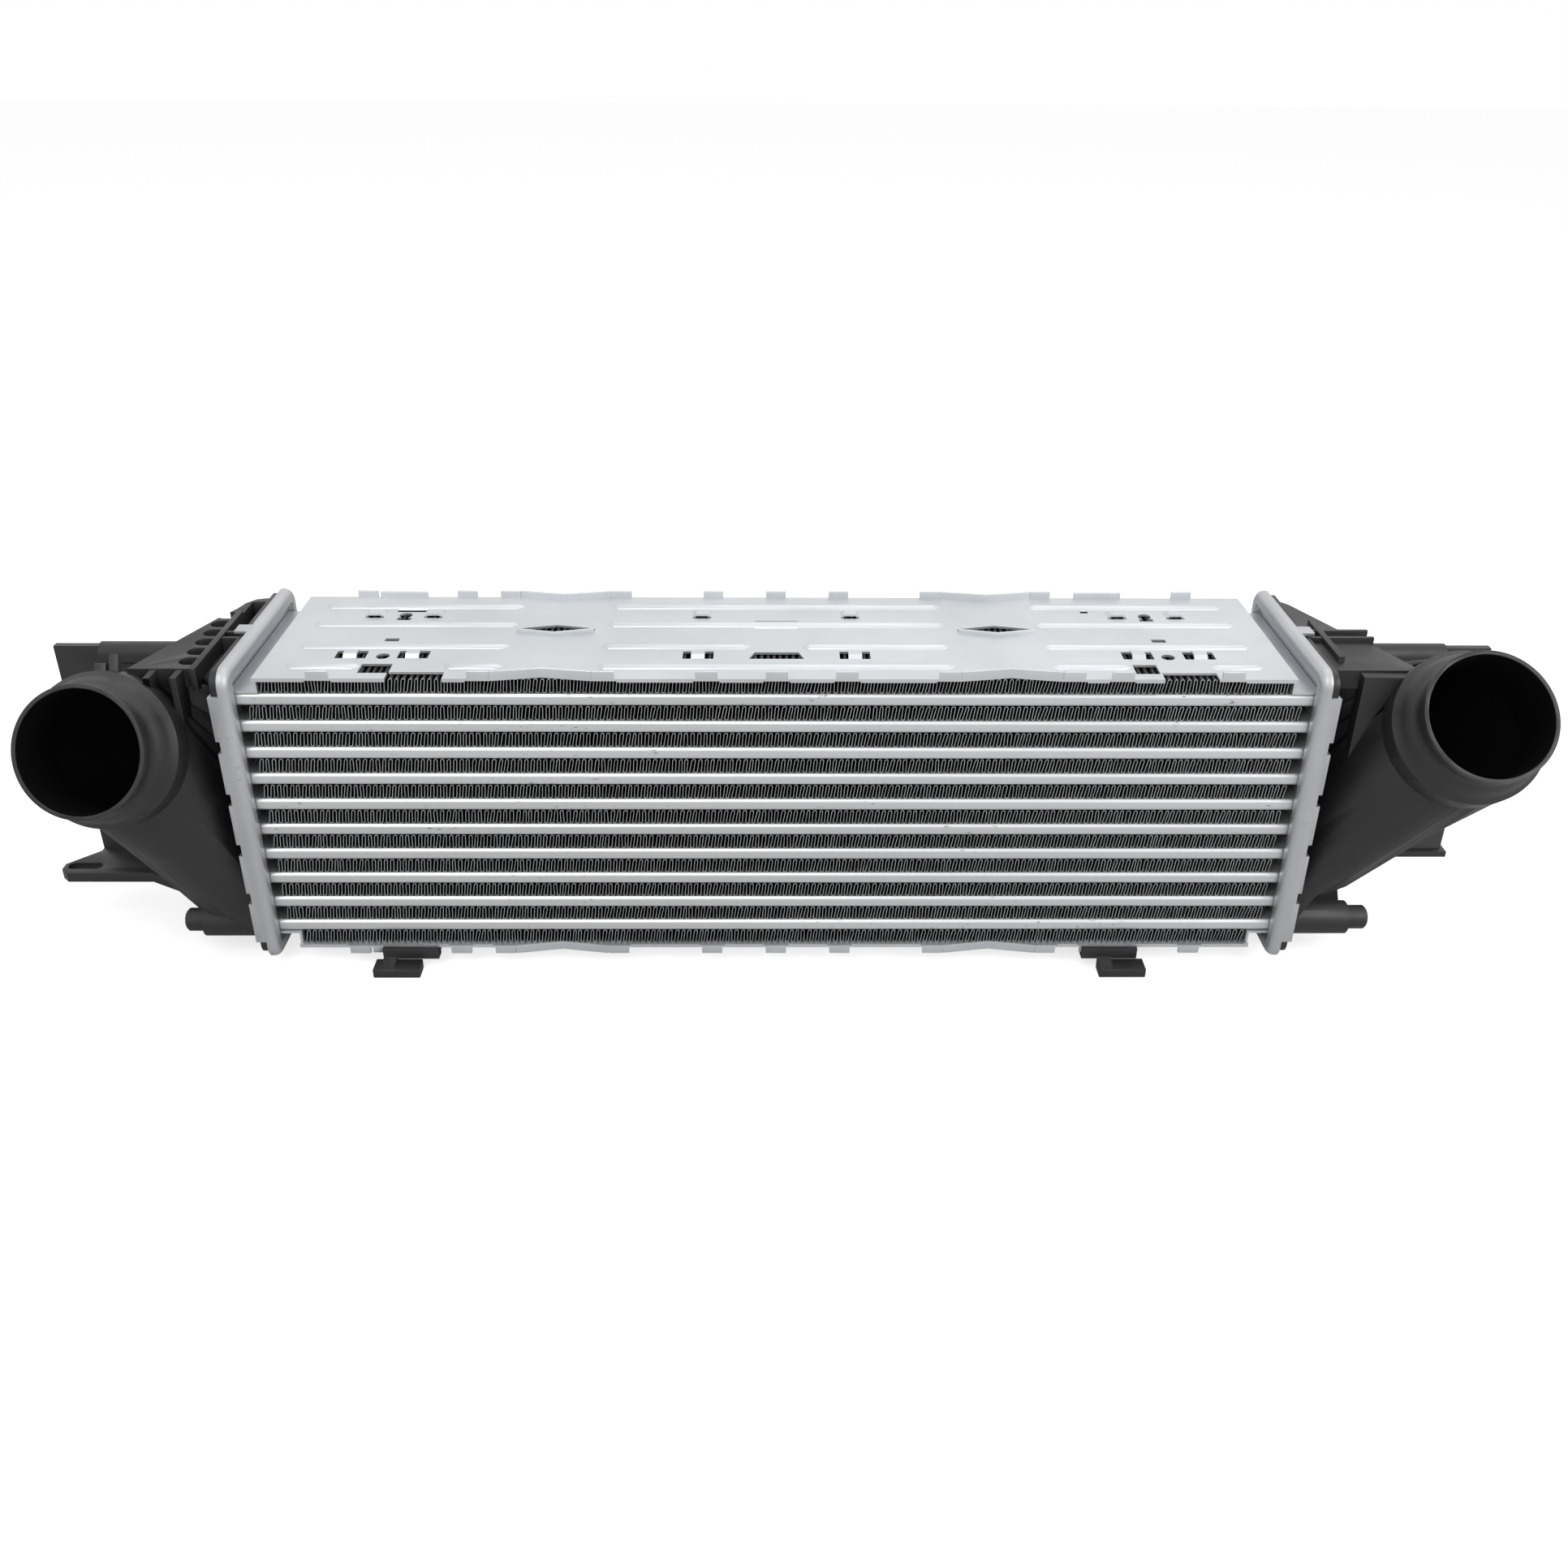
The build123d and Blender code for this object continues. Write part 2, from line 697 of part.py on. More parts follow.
def front_ribs(left):
    """Upright stiffeners between the port and the header."""
    back = wedge_front + rib_sink
    if left:
        foot = header_top - stiffener_left_drop
        front = wedge_front - stiffener_left_reach
        spans = [(x, x + rib_sheet) for x in stiffener_left]
        top = wedge_top - rib_sink / 2
    else:
        foot = header_top - stiffener_right_drop
        front = wedge_front - stiffener_right_reach
        spans = [stiffener_right]
        top = wedge_top - rib_sink
    return [block(core_half + x0, core_half + x1, front, back, foot, top) for x0, x1 in spans]


def bracket(left):
    """Upright mounting web behind the port, its top rail and its horizontal arm or gusset."""
    root = shoulder + 2 * rib_sink
    back = web_y + web_sheet
    tip = core_half + web_end
    web = block(root, tip, web_y, back, web_foot, web_top)
    rail_length = core_half + rail_end - root
    rail_z = web_top + rail_rise - rail_diameter / 2
    rail = Pos(root + rail_length / 2, web_y + web_sheet / 2, rail_z) * Rot(0, 90, 0)
    rail = rail * Cylinder(rail_diameter / 2, rail_length)
    if not left:
        outline = [(root, back), (root, peg_y), (core_half + gusset_neck, peg_y)]
        outline += [(core_half + out, y) for out, y in gusset_edge]
        end = core_half + gusset_end
        outline += [(end, gusset_edge[-1][1]), (end, back)]
        return [web, rail, plan_prism(outline, web_foot - gusset_sheet, web_foot)]
    ear = core_half + ear_end
    neck_in, neck_out = arm_neck
    outline = [(root, back), (root, peg_y), (core_half + neck_in, peg_y), (core_half + neck_out, arm_front),
               (ear - ear_corner, arm_front), (ear, arm_front + ear_corner), (ear, ear_back[0]),
               (tip, ear_back[1]), (tip, back)]
    arm = plan_prism(outline, web_foot - arm_sheet, web_foot)
    slot_out, slot_y = ear_slot_spot
    slot = Pos(core_half + slot_out, slot_y, web_foot) * SlotOverall(*ear_slot)
    arm -= extrude(slot, amount=2 * arm_sheet, both=True)
    return [web, rail, arm]


def collar_catch(frame):
    """Small moulded catch on top of the left collar, a low block beside a tall tooth."""
    low = frame * Pos(catch_apart, collar_diameter / 2, -catch_back) * Box(*catch_low)
    tall = frame * Pos(-catch_apart, collar_diameter / 2 + catch_apart / 2, -catch_back) * Box(*catch_tall)
    return [low, tall]


def peg(left):
    """Round locating peg at the foot of the tank, on a thicker root."""
    radius = (peg_diameter_left if left else peg_diameter_right) / 2
    length = core_half + (peg_end_left if left else peg_end_right) - shoulder
    root_length = core_half + (peg_root_left if left else peg_root_right) - shoulder
    axis = Pos(shoulder, peg_y, (peg_rise_left if left else peg_rise_right) - header_top) * Rot(0, 90, 0)
    shaft = axis * Pos(0, 0, length / 2) * Cylinder(radius, length)
    shaft = chamfer(shaft.faces().sort_by(Axis.X)[-1].edges(), peg_chamfer)
    return shaft + axis * Pos(0, 0, root_length / 2) * Cylinder(radius + peg_root, root_length)


def tank(left):
    """Moulded end tank in one piece: foot, hollow body, spigot, ribs, bracket and locating peg."""
    corner = header_corner - header_sheet
    frame = port_frame(port_left, port_tilt_left, port_turn_left) if left else (
        port_frame(port_right, port_tilt_right, port_turn_right))
    foot_y = groove_y - 3 * seal_gap
    foot_z = groove_z - 3 * seal_gap
    foot = rounded_block(foot_face, shoulder, foot_y, foot_z, corner)
    top = plan_prism(wedge_plan(left), roof - roof_sheet, wedge_top)
    if left:
        cuts, ribs = comb_ribs()
        top = top - cuts
        ribs += collar_catch(frame)
    else:
        ribs = cross_ribs()
    shell = foot + ([top, tank_body(0, left, frame), peg(left), spigot(frame)] + ribs + front_ribs(left)
                    + bracket(left))
    mouth_y = panel_y + 4 * seal_gap
    mouth_z = panel_z + 4 * seal_gap
    mouth = rounded_block(foot_face - foot_bite, shoulder, mouth_y, mouth_z, corner / 2)
    return shell - [mouth, tank_body(tank_wall, left, frame), port_bore(frame)]


# Bottom clips
def clip(foot_x, x):
    """Moulded clip pushed onto the bottom plate's flange, with its foot out in front."""
    length, width, height = clip_foot
    flange_bottom = -(plate_top + clip_flange_height)
    floor = flange_bottom - clip_play
    under = floor - clip_sheet
    inner = -(edge_y - plate_sheet) + clip_play
    outer = -edge_y - clip_play
    crown = -(plate_top + clip_play)
    bead_under = -(plate_top + bead_height + clip_play)
    profile = [(outer - clip_sheet, under), (outer - clip_sheet, crown + 1), (outer, crown + 1),
               (outer, floor), (inner, floor), (inner, bead_under), (inner + clip_tongue, bead_under),
               (inner + clip_tongue, bead_under - clip_sheet),
               (inner + clip_sheet, bead_under - clip_sheet), (inner + clip_sheet, under)]
    body = side_prism(profile, x, x + clip_body_length)
    back = clip_front + width
    leg_profile = [(outer - clip_sheet, under + 1), (clip_front, clip_foot_top), (back, clip_foot_top),
                   (inner + clip_sheet, under + 1)]
    leg = side_prism(leg_profile, max(x, foot_x), max(x, foot_x) + clip_leg)
    foot = block(foot_x, foot_x + length, clip_front, back, clip_foot_top - height, clip_foot_top)
    front_edges = foot.edges().filter_by(Axis.X).group_by(Axis.Z)[0]
    foot = fillet(front_edges, clip_corner)
    return body + leg + foot


def build():
    """Every piece of the intercooler, by name."""
    pieces = {}
    for number in range(tube_count):
        pieces[f"tube_{number + 1:02d}"] = tube(number)
        pieces[f"turbulator_{number + 1:02d}"] = turbulator(number)
    for row in range(tube_count + 1):
        pieces[f"fin_{row + 1:02d}"] = fin(row)
    right_header = header()
    pieces["header_right"] = right_header
    pieces["header_left"] = mirror(right_header, about=Plane.YZ)
    right_gasket = gasket()
    pieces["gasket_right"] = right_gasket
    pieces["gasket_left"] = mirror(right_gasket, about=Plane.YZ)
    plate = side_plate()
    pieces["side_plate_top"] = plate
    pieces["side_plate_bottom"] = Rot(180, 0, 0) * plate
    pieces["tank_right"] = tank(False)
    pieces["tank_left"] = mirror(tank(True), about=Plane.YZ)
    pieces["clip_left"] = clip(*clip_left_x)
    pieces["clip_right"] = clip(*clip_right_x)
    return pieces


def export(pieces):
    """Stand the whole on its base, centred, and write one file for each piece."""
    box = Compound(children=[Compound(piece.solids()) for piece in pieces.values()]).bounding_box()
    shift = Pos(-box.center().X, -box.center().Y, -box.min.Z)
    os.makedirs("parts", exist_ok=True)
    for name, piece in pieces.items():
        export_step(shift * piece, f"parts/{name}.step")
    print("moved by", -box.center().X, -box.center().Y, -box.min.Z)


export(build())
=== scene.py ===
"""Charge-air intercooler: the looks round its fixed CAD frame, laid out as an add-on."""

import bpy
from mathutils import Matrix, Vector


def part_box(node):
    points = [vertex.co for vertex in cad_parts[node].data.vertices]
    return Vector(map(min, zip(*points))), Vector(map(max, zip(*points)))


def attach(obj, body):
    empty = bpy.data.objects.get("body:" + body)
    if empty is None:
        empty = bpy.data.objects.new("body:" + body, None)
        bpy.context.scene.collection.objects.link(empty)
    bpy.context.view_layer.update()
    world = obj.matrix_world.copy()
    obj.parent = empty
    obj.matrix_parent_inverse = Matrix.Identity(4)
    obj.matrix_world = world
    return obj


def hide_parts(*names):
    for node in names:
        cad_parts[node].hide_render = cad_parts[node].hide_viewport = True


bl_info = {
    "name": "Charge-air intercooler",
    "version": (1, 0, 0),
    "blender": (4, 5, 0),
    "location": "3D Viewport > Sidebar > Intercooler",
    "description": "Finishes a brazed tube-and-fin core and its moulded end tanks",
    "category": "Object",
}

from math import cos, radians, sin

import bmesh
import bpy
from bpy.props import FloatProperty, FloatVectorProperty, PointerProperty, StringProperty
from mathutils import Matrix, Vector

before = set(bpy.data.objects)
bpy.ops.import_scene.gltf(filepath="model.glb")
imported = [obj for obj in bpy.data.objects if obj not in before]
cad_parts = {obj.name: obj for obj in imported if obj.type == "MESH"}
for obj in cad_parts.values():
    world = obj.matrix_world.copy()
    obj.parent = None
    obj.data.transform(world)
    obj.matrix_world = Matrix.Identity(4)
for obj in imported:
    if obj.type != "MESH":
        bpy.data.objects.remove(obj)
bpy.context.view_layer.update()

MM = 0.001
TUBES = 10
SIDES = ("left", "right")

# Heights above the core's middle, in millimetres: the side plate's face, and what is pressed or bent up
# from it.
PLATE_TOP = 76.93
BEAD_CREST = PLATE_TOP + 1.6
LOUVRE_CREST = PLATE_TOP + 2.4
FLANGE_CREST = PLATE_TOP + 3.4
TAB_CREST = PLATE_TOP + 3.9

# How near in height a point counts as on such a level, and from where a face counts as part of the relief.
LEVEL_PLAY = 0.02
RELIEF_START = PLATE_TOP + 0.05

# Each port: its mouth's middle in millimetres from the core's, and its tilt and turn in degrees.
PORTS = {"left": ((-320.5, -84.0, 54.2), 24.5, -4.5), "right": ((328.3, -80.9, 72.1), 40.0, 1.3)}
# Inside each port, in millimetres from its mouth: the bore's radius and depth, how deep and how far out from
# the axis the hollow's walls that get painted shade are looked for, and how near the mouth a face still is
# its rim.
BORE = 29.5
BORE_DEPTH = 28
HOLLOW_DEPTH = 75
HOLLOW_REACH = BORE + 9
RIM_DEPTH = 0.2

# Cosine past which a wall counts as facing the port's axis or its mouth.
FACING = 0.2

# Depths behind the core's face, in millimetres, between which a fin's edge passes from its own colour into
# near-black painted shade that stands in for the shade deep between the folds.
FIN_PAINTED_SHADE_START = 0.1
FIN_PAINTED_SHADE_FULL = 0.9

# Triangles of a CAD node that meet at less than this lie in one flat face.
FLAT_ANGLE = radians(0.5)
MERGE_DISTANCE = 0.002 * MM

# Numbers of a Mix node's colour sockets.
AMOUNT, UNDER, OVER, MIXED = 0, 6, 7, 2

# The core's middle, found from the two headers, is the point that all these sizes are given from.
CORE = (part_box("header_left")[0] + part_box("header_right")[1]) / 2


def spot(x, y, z):
    """Point in the row frame of millimetres from the core's middle."""
    return CORE + Vector((x, y, z)) * MM


# Settings
class CoreSettings(bpy.types.PropertyGroup):
    """Sizes of the fins and tubes."""

    fin_pitch: FloatProperty(name="Fin pitch", description="Length of one fold of the fin strip",
                             default=3.14 * MM, min=1 * MM, max=10 * MM, unit="LENGTH")
    fin_foil: FloatProperty(name="Fin foil", description="Thickness of the fin strip",
                            default=0.3 * MM, min=0.05 * MM, max=1 * MM, unit="LENGTH")
    fin_lean: FloatProperty(name="Fin lean", description="How far a fold leans, from root to crest",
                            default=0.9 * MM, min=0, max=3 * MM, unit="LENGTH")
    fin_waver: FloatProperty(name="Fin waver", description="How unevenly the folds stand",
                             default=1.5 * MM, min=0, max=5 * MM, unit="LENGTH")
    waver_size: FloatProperty(name="Waver size", description="Length over which the unevenness changes",
                              default=7 * MM, min=1 * MM, max=50 * MM, unit="LENGTH")
    fin_half: FloatProperty(name="Fin row half", description="Half length of a row between two tubes",
                            default=253.0 * MM, min=10 * MM, max=500 * MM, unit="LENGTH")
    end_fin_half: FloatProperty(name="End row half", description="Half length of a row on a side plate",
                                default=245.3 * MM, min=10 * MM, max=500 * MM, unit="LENGTH")
    tube_nose: FloatProperty(name="Tube nose", description="Rounding along a tube's edges",
                             default=0.55 * MM, min=0.1 * MM, max=3 * MM, unit="LENGTH")
    nose_depth: FloatProperty(name="Nose depth", description="How far in from its face a tube's nose reaches",
                              default=1.7 * MM, min=0.1 * MM, max=5 * MM, unit="LENGTH")


class ShellSettings(bpy.types.PropertyGroup):
    """Rounding of pressed and moulded edges."""

    press_round: FloatProperty(name="Pressed edge", description="Rounding of folds in the stamped sheet",
                               default=0.45 * MM, min=0.1 * MM, max=2 * MM, unit="LENGTH")
    bead_round: FloatProperty(name="Bead", description="Rounding of the stamped beads' crests",
                              default=1.4 * MM, min=0.1 * MM, max=2 * MM, unit="LENGTH")
    tray_round: FloatProperty(name="Tray edge", description="Rounding of the headers' and clips' edges",
                              default=0.35 * MM, min=0.1 * MM, max=2 * MM, unit="LENGTH")
    mould_round: FloatProperty(name="Tank edge", description="Rounding of the tanks' edges",
                               default=0.6 * MM, min=0.1 * MM, max=2 * MM, unit="LENGTH")
    # Width of the narrow bevel along a port mouth's inner edge that carries the painted highlight.
    mouth_trim: FloatProperty(name="Mouth trim", description="Width of the cut edge inside a port's mouth",
                              default=0.22 * MM, min=0.05 * MM, max=2 * MM, unit="LENGTH")


class FinishSettings(bpy.types.PropertyGroup):
    """Colours of the finishes, as sRGB hex."""

    plate: StringProperty(name="Side plate", description="Brazed aluminium sheet", default="#D6D9DC")
    tube: StringProperty(name="Tube", description="Rolled aluminium tube", default="#E0E1E2")
    fin: StringProperty(name="Fin", description="Aluminium foil", default="#BDBFC1")
    header: StringProperty(name="Header", description="Pressed aluminium tray", default="#C4C6C9")
    tank: StringProperty(name="Tank", description="Black glass-filled nylon", default="#242325")
    # Painted shade: near-black colour laid on the bore walls of the ports, where shade falls.
    inside: StringProperty(name="Tank inside", description="Shadowed walls of the bores", default="#070708")
    # Painted highlight: pale olive colour for the thin bright line along a port mouth's inner edge.
    trim: StringProperty(name="Mouth trim", description="Cut edge inside a port's mouth", default="#4A4B3A")
    seal: StringProperty(name="Seal", description="Black EPDM", default="#161616")
    rub: StringProperty(name="Rub marks", description="Dirt rubbed into the sheet", default="#4A443F")


class StageSettings(bpy.types.PropertyGroup):
    """The camera, solved from the photograph."""

    photo_size: FloatProperty(name="Picture", description="Width of the photograph in pixels",
                              default=1932.0, min=1)
    focal: FloatProperty(name="Focal length", description="In pixels of the photograph", default=1804.7,
                         min=1)
    down: FloatProperty(name="Down", description="How far the camera looks down", default=radians(28.82),
                        subtype="ANGLE")
    yaw: FloatProperty(name="Yaw", description="How far it looks to the right", default=radians(0.709),
                       subtype="ANGLE")
    roll: FloatProperty(name="Roll", description="How far it leans", default=radians(0.381), subtype="ANGLE")
    place: FloatVectorProperty(name="Place", description="Millimetres from the core's middle",
                               default=(-4.09, -681.5, 366.83))


# Small tools
def linear(hex_colour):
    """Linear RGBA of an sRGB hex colour."""
    parts = [int(hex_colour[i:i + 2], 16) / 255 for i in (1, 3, 5)]
    return [c / 12.92 if c <= 0.04045 else ((c + 0.055) / 1.055) ** 2.4 for c in parts] + [1.0]


def object_mode():
    """Leave edit mode, with nothing selected."""
    if bpy.context.mode != "OBJECT":
        bpy.ops.object.mode_set(mode="OBJECT")
    bpy.ops.object.select_all(action="DESELECT")


def activate(piece):
    """Make one piece the only one that operators act on."""
    object_mode()
    piece.select_set(True)
    bpy.context.view_layer.objects.active = piece


def edit(piece, kind="VERT"):
    """Open one piece for editing, with nothing selected."""
    activate(piece)
    bpy.ops.object.mode_set(mode="EDIT")
    bpy.ops.mesh.select_mode(type=kind)
    bpy.ops.mesh.select_all(action="DESELECT")


def pick(piece, wanted, kind="faces"):
    """Select the faces or edges of the open piece that a test on them holds for."""
    shape = bmesh.from_edit_mesh(piece.data)
    found = [part for part in getattr(shape, kind) if wanted(part)]
    if not found:
        raise RuntimeError(f"{piece.name} has none of the {kind} to work on")
    for part in found:
        part.select_set(True)
    shape.select_flush_mode()
    bmesh.update_edit_mesh(piece.data)


def middle_of(edge):
    """Middle of an edge."""
    return (edge.verts[0].co + edge.verts[1].co) / 2


def finished(piece, name, slot, *nodes):
    """Name a piece, settle its place in its mesh, and set it on the part's body in place of its CAD nodes."""
    activate(piece)
    bpy.ops.object.transform_apply(location=True, rotation=True, scale=True)
    piece.name = name
    piece.data.name = name
    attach(piece, "root")
    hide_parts(*nodes)


def modify(piece, kind, **settings):
    """Add a modifier and apply it."""
    activate(piece)
    modifier = piece.modifiers.new(kind.title(), kind)
    for key, value in settings.items():
        setattr(modifier, key, value)
    bpy.ops.object.modifier_apply(modifier=modifier.name)


def smooth(piece, angle):
    """Smooth shading, broken at edges sharper than the angle."""
    activate(piece)
    bpy.ops.object.shade_smooth_by_angle(angle=radians(angle))


def dress(piece, material):
    """Give a piece one material."""
    piece.data.materials.clear()
    piece.data.materials.append(material)


def copy_of_node(node, whole_faces=True):
    """Editable copy of a CAD node: its loose triangles merged to one skin, with broad flat faces if asked."""
    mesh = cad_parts[node].data.copy()
    piece = bpy.data.objects.new(node + "_skin", mesh)
    bpy.context.scene.collection.objects.link(piece)
    activate(piece)
    bpy.ops.mesh.customdata_custom_splitnormals_clear()
    edit(piece)
    bpy.ops.mesh.select_all(action="SELECT")
    bpy.ops.mesh.remove_doubles(threshold=MERGE_DISTANCE)
    if whole_faces:
        bpy.ops.mesh.dissolve_limited(angle_limit=FLAT_ANGLE)
    object_mode()
    return piece


# Materials
def add_node(tree, kind, settings=None, links=None):
    """Add one shader node, with its settings and what feeds its inputs, by name or number."""
    node = tree.nodes.new(kind)
    for key, value in (settings or {}).items():
        if isinstance(key, int) or key in node.inputs:
            node.inputs[key].default_value = value
        else:
            setattr(node, key, value)
    for key, source in (links or {}).items():
        tree.links.new(source, node.inputs[key])
    return node


def grey(value):
    """Grey of a linear value."""
    return (value, value, value, 1.0)


def shade(colour, factor):
    """A colour made lighter or darker."""
    return [min(1.0, c * factor) for c in colour[:3]] + [1.0]


def grains(tree, place, size_mm, stretch, detail, rough):
    """Uneven grains about so many millimetres across."""
    scaled = add_node(tree, "ShaderNodeMapping", {"Scale": [s / (size_mm * MM) for s in stretch]},
                      {"Vector": place})
    return add_node(tree, "ShaderNodeTexNoise", {"Scale": 1.0, "Detail": detail, "Roughness": rough},
                    {"Vector": scaled.outputs["Vector"]}).outputs["Fac"]


def clouded(tree, place, size_mm, low, high, stretch=(1, 1, 1), detail=3.0, rough=0.55):
    """Clouds of such grains that pass from one colour to another, each given with its level."""
    source = grains(tree, place, size_mm, stretch, detail, rough)
    blend = add_node(tree, "ShaderNodeValToRGB", links={"Fac": source})
    for element, (level, colour) in zip(blend.color_ramp.elements, (low, high)):
        element.position = level
        element.color = colour
    return blend.outputs["Color"]


def roughened(tree, shader, place, size_mm, depth_mm, stretch=(1, 1, 1), detail=3.0, rough=0.55):
    """Fine relief of such grains, so many millimetres deep."""
    height = grains(tree, place, size_mm, stretch, detail, rough)
    relief = add_node(tree, "ShaderNodeBump", {"Distance": depth_mm * MM, "Strength": 1.0},
                      {"Height": height})
    tree.links.new(relief.outputs["Normal"], shader.inputs["Normal"])


def new_material(name):
    """An empty material with its shader, and the piece's own coordinates."""
    material = bpy.data.materials.new(name)
    material.use_nodes = True
    tree = material.node_tree
    tree.nodes.clear()
    shader = add_node(tree, "ShaderNodeBsdfPrincipled")
    add_node(tree, "ShaderNodeOutputMaterial", links={"Surface": shader.outputs["BSDF"]})
    place = add_node(tree, "ShaderNodeTexCoord").outputs["Object"]
    return material, tree, shader, place


def rubbed(tree, place, tone, dirt, strength):
    """Dark rubbed specks a few millimetres long over a tone, in patches along the piece."""
    speck = clouded(tree, place, 2.2, (0.61, grey(0)), (0.67, grey(1)), (0.35, 1, 1), 6, 0.7)
    patch = clouded(tree, place, 45, (0.50, grey(0)), (0.62, grey(strength)), (0.8, 1, 1), 2)
    amount = add_node(tree, "ShaderNodeMix", {"data_type": "RGBA", "blend_type": "MULTIPLY", AMOUNT: 1.0},
                      {UNDER: speck, OVER: patch}).outputs[MIXED]
    return add_node(tree, "ShaderNodeMix", {"data_type": "RGBA", OVER: dirt},
                    {AMOUNT: amount, UNDER: tone}).outputs[MIXED]


def brazed_sheet(name, hex_colour, dirt, rough, metal, scuffs=0.0, along=(1, 1, 1)):
    """Aluminium sheet out of the brazing furnace: pale satin, clouded, with a fine frosted grain."""
    material, tree, shader, place = new_material(name)
    base = linear(hex_colour)
    tone = clouded(tree, place, 60, (0.3, shade(base, 0.93)), (0.7, shade(base, 1.05)), along, 4)
    if scuffs:
        tone = rubbed(tree, place, tone, linear(dirt), scuffs)
    worn = clouded(tree, place, 18, (0.3, grey(rough - 0.06)), (0.7, grey(rough + 0.08)), along, 5)
    tree.links.new(tone, shader.inputs["Base Color"])
    tree.links.new(worn, shader.inputs["Roughness"])
    shader.inputs["Metallic"].default_value = metal
    roughened(tree, shader, place, 0.7, 0.025, along, 4, 0.6)
    return material


def fin_foil(name, hex_colour):
    """Clad aluminium foil in its own colour where its cut edge faces out, with near-black painted shade
    deeper in the core where the folds shade each other.
    """
    material, tree, shader, place = new_material(name)
    base = linear(hex_colour)
    low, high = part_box("fin_02")
    half = (high.y - low.y) / 2
    # Painted shade: the foil is darkened with its depth behind the core's face.
    split = add_node(tree, "ShaderNodeSeparateXYZ", links={"Vector": place})
    offset = add_node(tree, "ShaderNodeMath", {"operation": "SUBTRACT", 1: CORE.y}, {0: split.outputs["Y"]})
    across = add_node(tree, "ShaderNodeMath", {"operation": "ABSOLUTE"}, {0: offset.outputs[0]})
    painted_depth_shade_mask = add_node(tree, "ShaderNodeMapRange",
                       {"From Min": half - FIN_PAINTED_SHADE_FULL * MM, "From Max": half - FIN_PAINTED_SHADE_START * MM},
                       {"Value": across.outputs[0]})
    tone = add_node(tree, "ShaderNodeMix", {"data_type": "RGBA", UNDER: shade(base, 0.06), OVER: base},
                    {AMOUNT: painted_depth_shade_mask.outputs["Result"]}).outputs[MIXED]
    dull = clouded(tree, place, 9, (0.4, grey(0)), (0.7, grey(0.5)), detail=4)
    tone = add_node(tree, "ShaderNodeMix", {"data_type": "RGBA", OVER: shade(base, 0.25)},
                    {AMOUNT: dull, UNDER: tone}).outputs[MIXED]
    tree.links.new(tone, shader.inputs["Base Color"])
    shader.inputs["Metallic"].default_value = 0.6
    shader.inputs["Roughness"].default_value = 0.5
    return material


def moulded_nylon(name, hex_colour):
    """Black 30 % glass-filled nylon, injection moulded: charcoal, a fine sparked grain, soft sheen."""
    material, tree, shader, place = new_material(name)
    base = linear(hex_colour)
    tone = clouded(tree, place, 40, (0.3, shade(base, 0.82)), (0.7, shade(base, 1.12)))
    fleck = clouded(tree, place, 0.9, (0.60, grey(0)), (0.78, grey(0.35)), detail=2, rough=0.6)
    tone = add_node(tree, "ShaderNodeMix", {"data_type": "RGBA", OVER: shade(base, 2.2)},
                    {AMOUNT: fleck, UNDER: tone}).outputs[MIXED]
    worn = clouded(tree, place, 25, (0.3, grey(0.38)), (0.7, grey(0.56)), detail=4)
    tree.links.new(tone, shader.inputs["Base Color"])
    tree.links.new(worn, shader.inputs["Roughness"])
    shader.inputs["IOR"].default_value = 1.53
    roughened(tree, shader, place, 0.6, 0.03, detail=3, rough=0.6)
    return material


def nylon_painted_light(name, hex_colour):
    """Flat nylon colour for painted light on the mouldings: painted shade on the bore walls and a painted
    highlight on the mouth's inner edge; dull, with a faint cloud.
    """
    material, tree, shader, place = new_material(name)
    base = linear(hex_colour)
    tone = clouded(tree, place, 30, (0.35, shade(base, 0.8)), (0.7, shade(base, 1.2)))
    tree.links.new(tone, shader.inputs["Base Color"])
    shader.inputs["Roughness"].default_value = 0.9
    shader.inputs["Specular IOR Level"].default_value = 0.1
    return material


def moulded_rubber(name, hex_colour):
    """EPDM seal, moulded: deep black and dull, with a faint bloom."""
    material, tree, shader, place = new_material(name)
    base = linear(hex_colour)
    tone = clouded(tree, place, 12, (0.35, base), (0.75, shade(base, 1.8)), detail=4)
    tree.links.new(tone, shader.inputs["Base Color"])
    shader.inputs["Roughness"].default_value = 0.8
    shader.inputs["IOR"].default_value = 1.5
    roughened(tree, shader, place, 0.8, 0.02)
    return material


# The finishes by their short names, made once and shared by all the pieces.
FINISH = {}
NODE_FINISH = {"tube": "tube", "turbulator": "fin", "fin": "fin", "header": "header", "side": "plate",
               "gasket": "seal", "tank": "tank", "clip": "tank"}


class INTERCOOLER_OT_finishes(bpy.types.Operator):
    """Make the materials"""

    bl_idname = "intercooler.finishes"
    bl_label = "Finishes"

    def execute(self, context):
        colours = context.scene.intercooler_finish
        dirt = colours.rub
        FINISH["plate"] = brazed_sheet("brazed_aluminium_sheet", colours.plate, dirt, rough=0.40, metal=0.7)
        FINISH["tube"] = brazed_sheet("rolled_aluminium_tube", colours.tube, dirt, rough=0.33, metal=0.8,
                                      scuffs=0.9, along=(0.12, 1, 1))
        FINISH["header"] = brazed_sheet("pressed_aluminium_tray", colours.header, dirt, rough=0.45, metal=0.7,
                                        scuffs=0.35)
        FINISH["fin"] = fin_foil("clad_aluminium_foil", colours.fin)
        FINISH["tank"] = moulded_nylon("glass_filled_nylon", colours.tank)
        FINISH["inside"] = nylon_painted_light("nylon_inner_wall", colours.inside)
        FINISH["trim"] = nylon_painted_light("nylon_cut_edge", colours.trim)
        FINISH["seal"] = moulded_rubber("epdm_rubber", colours.seal)
        for name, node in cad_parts.items():
            dress(node, FINISH[NODE_FINISH[name.split("_")[0]]])
        return {"FINISHED"}


